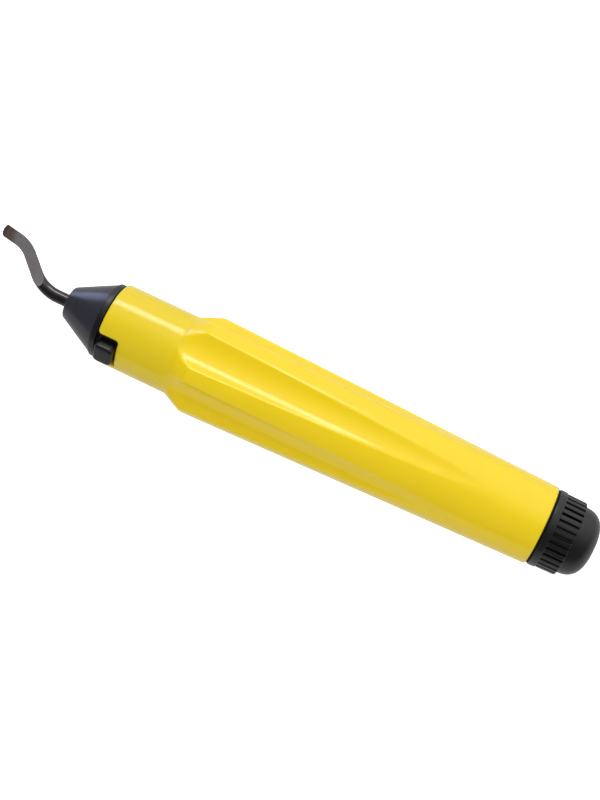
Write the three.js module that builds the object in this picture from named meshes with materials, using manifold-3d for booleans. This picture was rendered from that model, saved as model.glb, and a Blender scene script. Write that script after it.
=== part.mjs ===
// Deburring tool with a swivel blade: a fluted moulded barrel that holds a nose with a
// push-button blade latch at the front, and spare blades behind a screw cap at the rear.
//
// Millimetres. Every piece is drawn on the tool's axis, which runs along X. Stations along it
// start at the barrel's front rim: the blade is on the minus side and the cap on the plus side.
// Radial pieces of the latch are drawn with their radial direction along Z, and turned to the
// button's place round the axis.

import Module from 'manifold-3d';
import * as THREE from 'three';
import { mergeVertices } from 'three/addons/utils/BufferGeometryUtils.js';

const wasm = await Module();
wasm.setup();

// ---------------------------------------------------------------- driving dimensions

const RUNNING_GAP = 0.05; // radial room of a turning or sliding piece in its hole
const SEAT_GAP = 0.1; // room between pieces that rest on each other
const PAST = 2; // how far a cutter reaches past the face that it opens
const FULL_TURN = 2 * Math.PI;

const BARREL_SIDES = 48;
const ROUND_SIDES = 24;
const SMALL_SIDES = 16;

// Barrel, outside
const NECK_RADIUS = 9.75;
const NECK_LENGTH = 18.6;
const NECK_EDGE = 0.9;
const SHOULDER_RADIUS = 12.35;
const SHOULDER_END = 23.75;
const BARREL_LENGTH = 111.6;
const BARREL_REAR_RADIUS = 9.6;
const BARREL_REAR_EDGE = 0.35;
const FLUTE_COUNT = 6;
const FLUTE_RADIUS = 7.35;
const FLUTE_END = 95;

// Barrel, inside
const SOCKET_RADIUS = 8.45;
const SOCKET_DEPTH = 20.2;
const SNAP_STATION = 16.8;
const SNAP_HEIGHT = 0.3;
const SNAP_WIDTH = 0.8;
const WEB_THICKNESS = 2;
const STORE_RADIUS = 7.05;

// Nose
const NOSE_TIP = -11.6;
const NOSE_TIP_RADIUS = 3.95;
const NOSE_TIP_EDGE = 0.4;
const NOSE_BASE = -2;
const NOSE_BASE_RADIUS = 9.05;
const NOSE_SOCKET_RADIUS = 5.7;
const NOSE_SOCKET_DEPTH = 4.9;
const FLANGE_RADIUS = 9.3;
const FLANGE_FRONT = -1.7;
const FLANGE_REAR = -0.3;
const CORE_CHAMFER = 0.4;
const POCKET_ROOM = 0.3; // room round the button's saddle
const PLATE_ROOM = 0.2;
const BUSH_RADIUS = 2.6;
const BUSH_DEPTH = 9.3;
const BUSH_CHAMFER = 0.2;
const BALL_RADIUS = 1.5;

// Blade
const SHANK_RADIUS = 1.6;
const SHANK_END = 15.3;
const BLADE_STICKOUT = 3.5;
const FIRST_BEND_RADIUS = 9.5;
const FIRST_BEND = THREE.MathUtils.degToRad(47);
const SLOPE_LENGTH = 4.5;
const SECOND_BEND_RADIUS = 7.5;
const SECOND_BEND = THREE.MathUtils.degToRad(37.5);
const TIP_LENGTH = 4.5;
const GRIND_AFTER_BEND = 0.9;
const GRIND_WHEEL_RADIUS = 6.5;
const SHANK_CHAMFER = 0.5;
const REST_TURN = THREE.MathUtils.degToRad(25); // how far round the blade rests, hook up
const BLADE_GROOVE_STATION = 1.6;
const BLADE_GROOVE_WIDTH = 1.2;
const BLADE_GROOVE_RADIUS = 1.15;

// Latch: the button, the plate that it carries, and the spring under it
const BUTTON_TURN = THREE.MathUtils.degToRad(60);
const BUTTON_TRAVEL = 1.4;
const BUTTON_TOP = 11.3;
const BUTTON_FRONT = 0.45;
const BUTTON_LENGTH = 4.8;
const BUTTON_WIDTH = 5.2;
const BUTTON_EDGE = 0.35;
const BUTTON_CORNER = 0.7;
const NOTCH_WIDTH = 8.1;
const NOTCH_LENGTH = 5.4;
const NOTCH_CORNER = 0.7;
const SADDLE_RADIUS = 8.3;
const SADDLE_THICKNESS = 0.9;
const SADDLE_WIDTH = 10;
const SADDLE_FRONT = 0.2;
const SADDLE_REAR = 6.2;
const HUB_BOTTOM = 6.2;
const HUB_TOP = 8.1;
const HUB_BEHIND_SPRING = 1.5;
const PIP_HEIGHT = 1;
const PLATE_FRONT = 1.2;
const PLATE_THICKNESS = 0.8;
const PLATE_WIDTH = 6;
const PLATE_BOTTOM = -4.6;
const PLATE_SHOULDER = 5;
const PLATE_TOP = 7.6;
const PLATE_TONGUE_WIDTH = 3.2;
const PLATE_CORNER = 1;
const PLATE_HOLE_RADIUS = 1.75;
const PLATE_HOLE_BOTTOM = -1.25;
const PLATE_HOLE_SHIFT = 0.9;
const SPRING_STATION = 3.9;
const SPRING_RADIUS = 1.1;
const SPRING_WIRE = 0.2;
const SPRING_TURNS = 4;
const SPRING_SEAT = 2.7;

// Spare blades, side by side in the barrel's store with their hooks forward
const SPARE_FRONT = 25;
const SPARE_SPACING = 3.44;
const SPARE_ASIDE = -4.77;
const SPARE_DROP = -0.15;

// Rear cap and its screw
const SEAL_THICKNESS = 0.25;
const SEAL_OUTER_RADIUS = 9.15;
const COLLAR_FRONT = 112.05;
const COLLAR_RADIUS = 9.4;
const RIBS_FRONT = 113.9;
const RIBS_REAR = 118.8;
const RIB_RADIUS = 9.15;
const RIB_REAR_RADIUS = 9.05;
const RIB_COUNT = 32;
const RIB_GROOVE_WIDTH = 0.7;
const DOME_RADIUS = 8.2;
const DOME_LENGTH = 5.5;
const DOME_FULLNESS = 2.65;
const DOME_STEPS = 6;
const CAP_END = 124.2;
const CAP_BORE_RADIUS = 5.4;
const CAP_WALL = 2;
const CAP_EDGE = 0.4;
const SPIGOT_LENGTH = 7.2;
const THREAD_PITCH = 2;
const THREAD_ROOT = 6.8;
const THREAD_CREST = 7.5;
const THREAD_BASE_WIDTH = 1;
const THREAD_CREST_WIDTH = 0.5;
const THREAD_GAP = 0.25;
const THREAD_SIDE_GAP = 0.2;
const THREAD_CENTRE = 108;
const THREAD_FRONT = 105.5;
const THREAD_LENGTH = 5.5;
const THREAD_BURIED = 0.3;

// ---------------------------------------------------------------- finishes

const finishes = {
  yellowMoulding: new THREE.MeshStandardMaterial({ color: '#f2dc1c', roughness: 0.22, metalness: 0 }),
  navyNose: new THREE.MeshStandardMaterial({ color: '#2b2c37', roughness: 0.42, metalness: 0 }),
  blackMoulding: new THREE.MeshStandardMaterial({ color: '#17181a', roughness: 0.38, metalness: 0 }),
  blackRubber: new THREE.MeshStandardMaterial({ color: '#0f0f10', roughness: 0.75, metalness: 0 }),
  toolSteel: new THREE.MeshStandardMaterial({ color: '#857f81', roughness: 0.34, metalness: 1 }),
  brightSteel: new THREE.MeshStandardMaterial({ color: '#c4c6c8', roughness: 0.2, metalness: 1 }),
  springSteel: new THREE.MeshStandardMaterial({ color: '#9a9c9e', roughness: 0.3, metalness: 1 }),
};

// ---------------------------------------------------------------- solids

// A closed three.js geometry as a solid that can be cut and joined.
function solidOf(geometry) {
  const bare = geometry.clone();
  bare.deleteAttribute('normal');
  bare.deleteAttribute('uv');
  const merged = mergeVertices(bare);
  const triangles = [];
  for (let first = 0; first < merged.index.count; first += 3) {
    const [a, b, c] = merged.index.array.slice(first, first + 3);
    const isFlat = a === b || b === c || c === a;
    if (!isFlat) {
      triangles.push(a, b, c);
    }
  }
  return new wasm.Manifold(new wasm.Mesh({
    numProp: 3,
    vertProperties: new Float32Array(merged.attributes.position.array),
    triVerts: new Uint32Array(triangles),
  }));
}

function geometryOf(solid) {
  const { numProp, vertProperties, triVerts } = solid.getMesh();
  const geometry = new THREE.BufferGeometry();
  geometry.setAttribute('position', new THREE.BufferAttribute(vertProperties, numProp));
  geometry.setIndex(new THREE.BufferAttribute(triVerts, 1));
  return geometry;
}

function cutAll(solid, cutters) {
  return cutters.reduce((left, cutter) => left.subtract(cutter), solid);
}

// An outline of straight lines through [radius, station] corners.
function straightOutline(corners) {
  const outline = new THREE.Path();
  outline.moveTo(...corners[0]);
  for (const corner of corners.slice(1)) {
    outline.lineTo(...corner);
  }
  return outline;
}

// A body turned about the X axis. The outline's x is a radius and its y a station.
function turned(outline, sides, arcSteps = 3) {
  const geometry = new THREE.LatheGeometry(outline.getPoints(arcSteps), sides);
  geometry.rotateZ(-Math.PI / 2);
  return geometry;
}

// A plain rod or bore cutter about the X axis.
function rod(radius, front, rear, sides) {
  return turned(straightOutline([[0, front], [radius, front], [radius, rear], [0, rear]]), sides);
}

// A flat ring about the X axis, with its section's corners cut by the given chamfer.
function ring(inner, outer, front, rear, sides, chamfer = 0) {
  const corners = [
    [inner + chamfer, front],
    [outer - chamfer, front],
    [outer, front + chamfer],
    [outer, rear - chamfer],
    [outer - chamfer, rear],
    [inner + chamfer, rear],
    [inner, rear - chamfer],
    [inner, front + chamfer],
    [inner + chamfer, front],
  ];
  const sharp = [[inner, front], [outer, front], [outer, rear], [inner, rear], [inner, front]];
  return turned(straightOutline(chamfer > 0 ? corners : sharp), sides);
}

// A box between two stations, two sides and two heights.
function block(front, rear, width, bottom, top) {
  const geometry = new THREE.BoxGeometry(rear - front, width, top - bottom);
  geometry.translate((front + rear) / 2, 0, (bottom + top) / 2);
  return geometry;
}

// A rectangle with rounded corners, in the XY plane.
function roundedRectangle(front, rear, width, corner) {
  const shape = new THREE.Shape();
  const side = width / 2;
  shape.moveTo(front + corner, -side);
  shape.lineTo(rear - corner, -side);
  shape.absarc(rear - corner, -side + corner, corner, -Math.PI / 2, 0);
  shape.lineTo(rear, side - corner);
  shape.absarc(rear - corner, side - corner, corner, 0, Math.PI / 2);
  shape.lineTo(front + corner, side);
  shape.absarc(front + corner, side - corner, corner, Math.PI / 2, Math.PI);
  shape.lineTo(front, -side + corner);
  shape.absarc(front + corner, -side + corner, corner, Math.PI, 1.5 * Math.PI);
  return shape;
}

// A right-hand helix about the X axis. Its frames keep the normal pointing straight out, so a
// section swept along it doesn't roll.
class Helix extends THREE.Curve {
  constructor(radius, front, length, turns, startAngle) {
    super();
    Object.assign(this, { radius, front, length, turns, startAngle });
  }

  angleAt(t) {
    return this.startAngle + t * this.turns * FULL_TURN;
  }

  getPoint(t, target = new THREE.Vector3()) {
    const angle = this.angleAt(t);
    return target.set(
      this.front + t * this.length,
      this.radius * Math.cos(angle),
      this.radius * Math.sin(angle),
    );
  }

  computeFrenetFrames(steps) {
    const frames = { tangents: [], normals: [], binormals: [] };
    for (let step = 0; step <= steps; step += 1) {
      const angle = this.angleAt(step / steps);
      const tangent = this.getTangent(step / steps);
      const normal = new THREE.Vector3(0, Math.cos(angle), Math.sin(angle));
      frames.tangents.push(tangent);
      frames.normals.push(normal);
      frames.binormals.push(new THREE.Vector3().crossVectors(tangent, normal));
    }
    return frames;
  }
}

// The centreline of a bent rod that starts at the origin and heads along -X. Each stretch has a
// length and the angle that it turns through, to +Y where that is positive.
class BentCentreline extends THREE.Curve {
  constructor(stretches) {
    super();
    this.stretches = stretches;
    this.total = stretches.reduce((sum, stretch) => sum + stretch.length, 0);
  }

  getPoint(t, target = new THREE.Vector3()) {
    let left = t * this.total;
    let heading = 0;
    let ahead = 0;
    let aside = 0;
    for (const { length, turn } of this.stretches) {
      const run = Math.min(left, length);
      const nextHeading = heading + turn * run / length;
      if (turn === 0) {
        ahead += run * Math.cos(heading);
        aside += run * Math.sin(heading);
      } else {
        const radius = length / turn;
        ahead += radius * (Math.sin(nextHeading) - Math.sin(heading));
        aside += radius * (Math.cos(heading) - Math.cos(nextHeading));
      }
      heading = nextHeading;
      left -= run;
      if (left <= 0) {
        break;
      }
    }
    return target.set(-ahead, aside, 0);
  }
}

// ---------------------------------------------------------------- barrel

function barrelRadiusAt(station) {
  const along = (station - SHOULDER_END) / (BARREL_LENGTH - SHOULDER_END);
  return THREE.MathUtils.lerp(SHOULDER_RADIUS, BARREL_REAR_RADIUS, along);
}

function barrelOutside() {
  const outline = new THREE.Path();
  outline.moveTo(0, 0);
  outline.lineTo(NECK_RADIUS - NECK_EDGE, 0);
  outline.absarc(NECK_RADIUS - NECK_EDGE, NECK_EDGE, NECK_EDGE, -Math.PI / 2, 0);
  outline.lineTo(NECK_RADIUS, NECK_LENGTH);
  outline.lineTo(SHOULDER_RADIUS, SHOULDER_END);
  outline.lineTo(barrelRadiusAt(BARREL_LENGTH - BARREL_REAR_EDGE), BARREL_LENGTH - BARREL_REAR_EDGE);
  outline.absarc(
    BARREL_REAR_RADIUS - BARREL_REAR_EDGE,
    BARREL_LENGTH - BARREL_REAR_EDGE,
    BARREL_REAR_EDGE,
    0,
    Math.PI / 2,
  );
  outline.lineTo(0, BARREL_LENGTH);
  return turned(outline, BARREL_SIDES);
}

// A flute is a straight round channel. Its floor starts level with the neck and meets the
// tapering barrel at FLUTE_END, where it runs out.
function fluteCutter(index) {
  const start = new THREE.Vector2(NECK_LENGTH, NECK_RADIUS + FLUTE_RADIUS);
  const end = new THREE.Vector2(FLUTE_END, barrelRadiusAt(FLUTE_END) + FLUTE_RADIUS);
  const rise = Math.atan2(end.y - start.y, end.x - start.x);
  const length = BARREL_LENGTH - NECK_LENGTH;
  const cutter = new THREE.CylinderGeometry(FLUTE_RADIUS, FLUTE_RADIUS, length, BARREL_SIDES);
  cutter.rotateZ(-Math.PI / 2);
  cutter.translate(length / 2, 0, 0);
  cutter.rotateY(-rise);
  cutter.translate(start.x, 0, start.y);
  cutter.rotateX(index / FLUTE_COUNT * FULL_TURN);
  return solidOf(cutter);
}

function notchCutter() {
  const outline = roundedRectangle(-NOTCH_LENGTH, NOTCH_LENGTH, NOTCH_WIDTH, NOTCH_CORNER);
  const cutter = new THREE.ExtrudeGeometry(outline, {
    depth: SHOULDER_RADIUS,
    bevelEnabled: false,
    curveSegments: 4,
  });
  cutter.rotateX(BUTTON_TURN);
  return solidOf(cutter);
}

// The ridge of a screw thread, wound about the X axis. All ridges pass through THREAD_CENTRE at
// the same angle, so a thread and its nut are in step.
function threadRidge(rootRadius, crestRadius, baseWidth, crestWidth, front, length) {
  const height = crestRadius - rootRadius;
  const section = new THREE.Shape();
  section.moveTo(-THREAD_BURIED, -baseWidth / 2);
  section.lineTo(0, -baseWidth / 2);
  section.lineTo(height, -crestWidth / 2);
  section.lineTo(height, crestWidth / 2);
  section.lineTo(0, baseWidth / 2);
  section.lineTo(-THREAD_BURIED, baseWidth / 2);
  const turns = length / THREAD_PITCH;
  const startAngle = (front - THREAD_CENTRE) / THREAD_PITCH * FULL_TURN;
  const helix = new Helix(rootRadius, front, length, turns, startAngle);
  return solidOf(new THREE.ExtrudeGeometry(section, {
    steps: Math.round(turns * ROUND_SIDES),
    extrudePath: helix,
  }));
}

function barrel() {
  const storeFront = SOCKET_DEPTH + WEB_THICKNESS;
  const nutFront = THREAD_FRONT - THREAD_PITCH / 4;
  const cutters = [
    rod(SOCKET_RADIUS, -PAST, SOCKET_DEPTH, BARREL_SIDES),
    rod(STORE_RADIUS, storeFront, BARREL_LENGTH + PAST, BARREL_SIDES),
  ].map(solidOf);
  cutters.push(threadRidge(
    STORE_RADIUS,
    THREAD_CREST + THREAD_GAP,
    THREAD_BASE_WIDTH + 2 * THREAD_SIDE_GAP,
    THREAD_CREST_WIDTH + 2 * THREAD_SIDE_GAP,
    nutFront,
    BARREL_LENGTH + PAST / 2 - nutFront,
  ));
  cutters.push(notchCutter());
  for (let index = 0; index < FLUTE_COUNT; index += 1) {
    cutters.push(fluteCutter(index));
  }
  const snapRib = ring(
    SOCKET_RADIUS - SNAP_HEIGHT,
    SOCKET_RADIUS + SNAP_HEIGHT,
    SNAP_STATION - SNAP_WIDTH / 2,
    SNAP_STATION + SNAP_WIDTH / 2,
    BARREL_SIDES,
  );
  return geometryOf(cutAll(solidOf(barrelOutside()), cutters).add(solidOf(snapRib)));
}

// ---------------------------------------------------------------- nose

function noseCone() {
  const outline = new THREE.Path();
  const bore = BUSH_RADIUS + RUNNING_GAP;
  outline.moveTo(bore, NOSE_TIP);
  outline.lineTo(NOSE_TIP_RADIUS - NOSE_TIP_EDGE, NOSE_TIP);
  outline.absarc(
    NOSE_TIP_RADIUS - NOSE_TIP_EDGE,
    NOSE_TIP + NOSE_TIP_EDGE,
    NOSE_TIP_EDGE,
    -Math.PI / 2,
    0,
  );
  outline.lineTo(NOSE_BASE_RADIUS, NOSE_BASE);
  outline.lineTo(NOSE_SOCKET_RADIUS, NOSE_BASE);
  outline.lineTo(NOSE_SOCKET_RADIUS, NOSE_BASE - NOSE_SOCKET_DEPTH);
  outline.lineTo(bore, NOSE_BASE - NOSE_SOCKET_DEPTH);
  outline.lineTo(bore, NOSE_TIP);
  return turned(outline, BARREL_SIDES);
}

function guideBush() {
  const front = NOSE_TIP + SEAT_GAP;
  return ring(
    SHANK_RADIUS + RUNNING_GAP,
    BUSH_RADIUS,
    front,
    front + BUSH_DEPTH,
    SMALL_SIDES,
    BUSH_CHAMFER,
  );
}

function thrustBall() {
  return new THREE.SphereGeometry(BALL_RADIUS, 12, 8);
}

// The cylinder that fills the barrel's socket, with the flange that shows as a dark band behind
// the nose cone, and a snout that the cone is pressed on.
function holderCore() {
  const bodyRadius = SOCKET_RADIUS - SEAT_GAP;
  const snoutRadius = NOSE_SOCKET_RADIUS - SEAT_GAP;
  const snoutFront = NOSE_BASE - NOSE_SOCKET_DEPTH + CORE_CHAMFER;
  const grooveRadius = SOCKET_RADIUS - SNAP_HEIGHT - SEAT_GAP;
  const grooveSide = SNAP_WIDTH / 2 + SEAT_GAP;
  const rear = SOCKET_DEPTH - SEAT_GAP;
  const outside = turned(straightOutline([
    [0, snoutFront],
    [snoutRadius - CORE_CHAMFER, snoutFront],
    [snoutRadius, snoutFront + CORE_CHAMFER],
    [snoutRadius, FLANGE_FRONT],
    [FLANGE_RADIUS, FLANGE_FRONT],
    [FLANGE_RADIUS, FLANGE_REAR],
    [bodyRadius, FLANGE_REAR],
    [bodyRadius, SNAP_STATION - grooveSide],
    [grooveRadius, SNAP_STATION - grooveSide],
    [grooveRadius, SNAP_STATION + grooveSide],
    [bodyRadius, SNAP_STATION + grooveSide],
    [bodyRadius, rear - CORE_CHAMFER],
    [bodyRadius - CORE_CHAMFER, rear],
    [0, rear],
  ]), BARREL_SIDES);

  const pocketFloor = PLATE_SHOULDER - BUTTON_TRAVEL;
  const bushRear = NOSE_TIP + 2 * SEAT_GAP + BUSH_DEPTH;
  const boreEnd = SHANK_END + 2 * RUNNING_GAP + 2 * BALL_RADIUS;
  const springSeat = new THREE.CylinderGeometry(
    SPRING_RADIUS + 2 * SPRING_WIRE,
    SPRING_RADIUS + 2 * SPRING_WIRE,
    pocketFloor - SPRING_SEAT + PAST,
    SMALL_SIDES,
  );
  springSeat.rotateX(Math.PI / 2);
  springSeat.translate(SPRING_STATION, 0, (pocketFloor + SPRING_SEAT + PAST) / 2);
  const latchCutters = [
    block(0, SADDLE_REAR + POCKET_ROOM, SADDLE_WIDTH + 2 * POCKET_ROOM, pocketFloor, SHOULDER_RADIUS),
    block(
      PLATE_FRONT - PLATE_ROOM,
      PLATE_FRONT + PLATE_THICKNESS + PLATE_ROOM,
      PLATE_WIDTH + 2 * PLATE_ROOM,
      PLATE_BOTTOM - BUTTON_TRAVEL - POCKET_ROOM,
      pocketFloor + PAST,
    ),
    springSeat,
  ];
  for (const cutter of latchCutters) {
    cutter.rotateX(BUTTON_TURN);
  }
  const boreCutters = [
    rod(BUSH_RADIUS + RUNNING_GAP, snoutFront - PAST, bushRear, SMALL_SIDES),
    rod(SHANK_RADIUS + RUNNING_GAP, bushRear - PAST, boreEnd, SMALL_SIDES),
  ];
  const cutters = [...latchCutters, ...boreCutters].map(solidOf);
  return geometryOf(cutAll(solidOf(outside), cutters));
}

// ---------------------------------------------------------------- blade

const bladeStretches = [
  { length: SHANK_END - NOSE_TIP + BLADE_STICKOUT, turn: 0 },
  { length: FIRST_BEND_RADIUS * FIRST_BEND, turn: FIRST_BEND },
  { length: SLOPE_LENGTH, turn: 0 },
  { length: SECOND_BEND_RADIUS * SECOND_BEND, turn: -SECOND_BEND },
  { length: TIP_LENGTH, turn: 0 },
];

// The wheel that grinds the upper half of the hook away, down to the rod's middle plane. It
// leaves a rounded run-out at the shank's end of the flat.
function grindCutter(centreline) {
  const flatFrom = bladeStretches[0].length + bladeStretches[1].length + GRIND_AFTER_BEND;
  const start = centreline.getPoint(flatFrom / centreline.total);
  const reach = centreline.total - flatFrom + PAST;
  const section = new THREE.Shape();
  section.moveTo(0, 0);
  section.lineTo(reach, 0);
  section.lineTo(reach, GRIND_WHEEL_RADIUS);
  section.lineTo(-GRIND_WHEEL_RADIUS, GRIND_WHEEL_RADIUS);
  section.absarc(0, GRIND_WHEEL_RADIUS, GRIND_WHEEL_RADIUS, Math.PI, 1.5 * Math.PI);
  const cutter = new THREE.ExtrudeGeometry(section, {
    depth: 2 * reach,
    bevelEnabled: false,
    curveSegments: 8,
  });
  cutter.translate(0, 0, -reach);
  cutter.rotateX(Math.PI / 2);
  cutter.rotateZ(Math.PI - FIRST_BEND);
  cutter.translate(start.x, start.y, 0);
  return solidOf(cutter);
}

function blade() {
  const centreline = new BentCentreline(bladeStretches);
  const section = new THREE.Shape();
  section.absarc(0, 0, SHANK_RADIUS, 0, FULL_TURN);
  const rodSteps = 32;
  const bentRod = new THREE.ExtrudeGeometry(section, {
    steps: rodSteps,
    curveSegments: SMALL_SIDES / 2,
    extrudePath: centreline,
  });
  const grooveStation = BLADE_GROOVE_STATION - SHANK_END;
  const groove = ring(
    BLADE_GROOVE_RADIUS,
    2 * SHANK_RADIUS,
    grooveStation - BLADE_GROOVE_WIDTH / 2,
    grooveStation + BLADE_GROOVE_WIDTH / 2,
    SMALL_SIDES,
  );
  const inner = SHANK_RADIUS - SHANK_CHAMFER;
  const outer = SHANK_RADIUS + SHANK_CHAMFER;
  const endCutter = turned(straightOutline([
    [inner, 0],
    [outer, -2 * SHANK_CHAMFER],
    [outer, SHANK_CHAMFER],
    [inner, SHANK_CHAMFER],
    [inner, 0],
  ]), SMALL_SIDES);
  const cutters = [solidOf(groove), solidOf(endCutter), grindCutter(centreline)];
  return geometryOf(cutAll(solidOf(bentRod), cutters));
}

// ---------------------------------------------------------------- latch

function releaseButton() {
  const rear = BUTTON_FRONT + BUTTON_LENGTH;
  const outline = roundedRectangle(
    BUTTON_FRONT + BUTTON_EDGE,
    rear - BUTTON_EDGE,
    BUTTON_WIDTH - 2 * BUTTON_EDGE,
    BUTTON_CORNER - BUTTON_EDGE,
  );
  const head = new THREE.ExtrudeGeometry(outline, {
    depth: BUTTON_TOP - HUB_BOTTOM - 2 * BUTTON_EDGE,
    bevelThickness: BUTTON_EDGE,
    bevelSize: BUTTON_EDGE,
    bevelSegments: 2,
    curveSegments: 3,
  });
  head.translate(0, 0, HUB_BOTTOM + BUTTON_EDGE);
  const shell = ring(
    SADDLE_RADIUS - SADDLE_THICKNESS,
    SADDLE_RADIUS,
    SADDLE_FRONT,
    SADDLE_REAR,
    BARREL_SIDES,
  );
  const saddle = solidOf(shell)
    .intersect(solidOf(block(-PAST, SADDLE_REAR + PAST, SADDLE_WIDTH, 0, SHOULDER_RADIUS)));
  const hubRear = SPRING_STATION + HUB_BEHIND_SPRING;
  const hub = block(BUTTON_FRONT, hubRear, BUTTON_WIDTH, HUB_BOTTOM, HUB_TOP);
  const pipRadius = SPRING_RADIUS / 2;
  const pip = new THREE.CylinderGeometry(pipRadius, pipRadius, 2 * PIP_HEIGHT, SMALL_SIDES);
  pip.rotateX(Math.PI / 2);
  pip.translate(SPRING_STATION, 0, HUB_BOTTOM);
  const tongueSlot = block(
    PLATE_FRONT - RUNNING_GAP,
    PLATE_FRONT + PLATE_THICKNESS + RUNNING_GAP,
    PLATE_TONGUE_WIDTH + 2 * RUNNING_GAP,
    PLATE_SHOULDER,
    PLATE_TOP + SEAT_GAP,
  );
  return geometryOf(solidOf(head)
    .add(saddle)
    .add(solidOf(hub))
    .add(solidOf(pip))
    .subtract(solidOf(tongueSlot)));
}

// A steel plate with an oblong hole. The lower edge of the hole sits in the blade's groove until
// the button is pressed.
function latchPlate() {
  const side = PLATE_WIDTH / 2;
  const tongueSide = PLATE_TONGUE_WIDTH / 2;
  const shape = new THREE.Shape();
  shape.moveTo(-side, PLATE_BOTTOM + PLATE_CORNER);
  shape.lineTo(-side + PLATE_CORNER, PLATE_BOTTOM);
  shape.lineTo(side - PLATE_CORNER, PLATE_BOTTOM);
  shape.lineTo(side, PLATE_BOTTOM + PLATE_CORNER);
  shape.lineTo(side, PLATE_SHOULDER);
  shape.lineTo(tongueSide, PLATE_SHOULDER);
  shape.lineTo(tongueSide, PLATE_TOP);
  shape.lineTo(-tongueSide, PLATE_TOP);
  shape.lineTo(-tongueSide, PLATE_SHOULDER);
  shape.lineTo(-side, PLATE_SHOULDER);
  shape.closePath();
  const hole = new THREE.Path();
  const lowCentre = PLATE_HOLE_BOTTOM + PLATE_HOLE_RADIUS;
  hole.absarc(0, lowCentre, PLATE_HOLE_RADIUS, Math.PI, FULL_TURN);
  hole.absarc(0, lowCentre + PLATE_HOLE_SHIFT, PLATE_HOLE_RADIUS, 0, Math.PI);
  hole.closePath();
  shape.holes.push(hole);
  const plate = new THREE.ExtrudeGeometry(shape, {
    depth: PLATE_THICKNESS,
    bevelEnabled: false,
    curveSegments: 10,
  });
  plate.rotateX(Math.PI / 2);
  plate.rotateZ(Math.PI / 2);
  return plate;
}

function buttonSpring() {
  const length = HUB_BOTTOM - SPRING_SEAT - 2 * SPRING_WIRE - SEAT_GAP;
  const coil = new Helix(SPRING_RADIUS, 0, length, SPRING_TURNS, 0);
  const wire = new THREE.Shape();
  wire.absarc(0, 0, SPRING_WIRE, 0, FULL_TURN);
  const stepsPerTurn = 12;
  const spring = new THREE.ExtrudeGeometry(wire, {
    steps: SPRING_TURNS * stepsPerTurn,
    curveSegments: 3,
    extrudePath: coil,
  });
  spring.rotateY(-Math.PI / 2);
  return spring;
}

// ---------------------------------------------------------------- rear cap

// The dome is a superellipse, fuller than a ball end, with its last fraction cut flat.
function domeCorners() {
  const cutAt = (CAP_END - RIBS_REAR) / DOME_LENGTH;
  const corners = [];
  for (let step = 0; step <= DOME_STEPS; step += 1) {
    const even = step / DOME_STEPS * cutAt;
    const along = even * (2 - even) / (2 - cutAt);
    const radius = DOME_RADIUS * (1 - along ** DOME_FULLNESS) ** (1 / DOME_FULLNESS);
    corners.push([radius, RIBS_REAR + DOME_LENGTH * along]);
  }
  return corners;
}

function rearCap() {
  const spigotFront = COLLAR_FRONT - SPIGOT_LENGTH;
  const outside = turned(straightOutline([
    [0, spigotFront],
    [THREAD_ROOT - CAP_EDGE, spigotFront],
    [THREAD_ROOT, spigotFront + CAP_EDGE],
    [THREAD_ROOT, COLLAR_FRONT],
    [COLLAR_RADIUS - CAP_EDGE, COLLAR_FRONT],
    [COLLAR_RADIUS, COLLAR_FRONT + CAP_EDGE],
    [RIB_RADIUS, RIBS_FRONT],
    [RIB_REAR_RADIUS, RIBS_REAR],
    ...domeCorners(),
    [0, CAP_END],
  ]), RIB_COUNT);
  const ridge = threadRidge(
    THREAD_ROOT,
    THREAD_CREST,
    THREAD_BASE_WIDTH,
    THREAD_CREST_WIDTH,
    THREAD_FRONT,
    THREAD_LENGTH,
  );
  const hollow = turned(straightOutline([
    [0, spigotFront - PAST],
    [CAP_BORE_RADIUS, spigotFront - PAST],
    [CAP_BORE_RADIUS, RIBS_REAR],
    [CAP_BORE_RADIUS / 2, CAP_END - CAP_WALL],
    [0, CAP_END - CAP_WALL],
  ]), ROUND_SIDES);
  const cutters = [solidOf(hollow)];
  for (let index = 0; index < RIB_COUNT; index += 1) {
    const groove = block(RIBS_FRONT, RIBS_REAR + PAST, RIB_GROOVE_WIDTH, DOME_RADIUS, 2 * DOME_RADIUS);
    groove.rotateX(index / RIB_COUNT * FULL_TURN);
    cutters.push(solidOf(groove));
  }
  return geometryOf(cutAll(solidOf(outside).add(ridge), cutters));
}

function capSeal() {
  const rear = COLLAR_FRONT - SEAT_GAP;
  return ring(THREAD_ROOT + SEAT_GAP, SEAL_OUTER_RADIUS, rear - SEAL_THICKNESS, rear, BARREL_SIDES);
}

// ---------------------------------------------------------------- assembly

function piece(name, geometry, finish) {
  const mesh = new THREE.Mesh(geometry, finish);
  mesh.name = name;
  return mesh;
}

const tool = new THREE.Group();
tool.add(
  piece('barrel', barrel(), finishes.yellowMoulding),
  piece('nose_cone', noseCone(), finishes.navyNose),
  piece('holder_core', holderCore(), finishes.blackMoulding),
  piece('guide_bush', guideBush(), finishes.brightSteel),
  piece('rear_cap', rearCap(), finishes.blackMoulding),
  piece('cap_seal', capSeal(), finishes.blackRubber),
);

const ball = piece('thrust_ball', thrustBall(), finishes.brightSteel);
ball.position.x = SHANK_END + RUNNING_GAP + BALL_RADIUS;
tool.add(ball);

const bladeShape = blade();
const workingBlade = piece('blade', bladeShape, finishes.toolSteel);
workingBlade.position.x = SHANK_END;
workingBlade.rotation.x = REST_TURN;
tool.add(workingBlade);

const latch = new THREE.Group();
latch.rotation.x = BUTTON_TURN;
const plate = piece('latch_plate', latchPlate(), finishes.springSteel);
plate.position.x = PLATE_FRONT;
const spring = piece('button_spring', buttonSpring(), finishes.springSteel);
spring.position.set(SPRING_STATION, 0, SPRING_SEAT + SPRING_WIRE + SEAT_GAP / 2);
latch.add(piece('release_button', releaseButton(), finishes.blackMoulding), plate, spring);
tool.add(latch);

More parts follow.
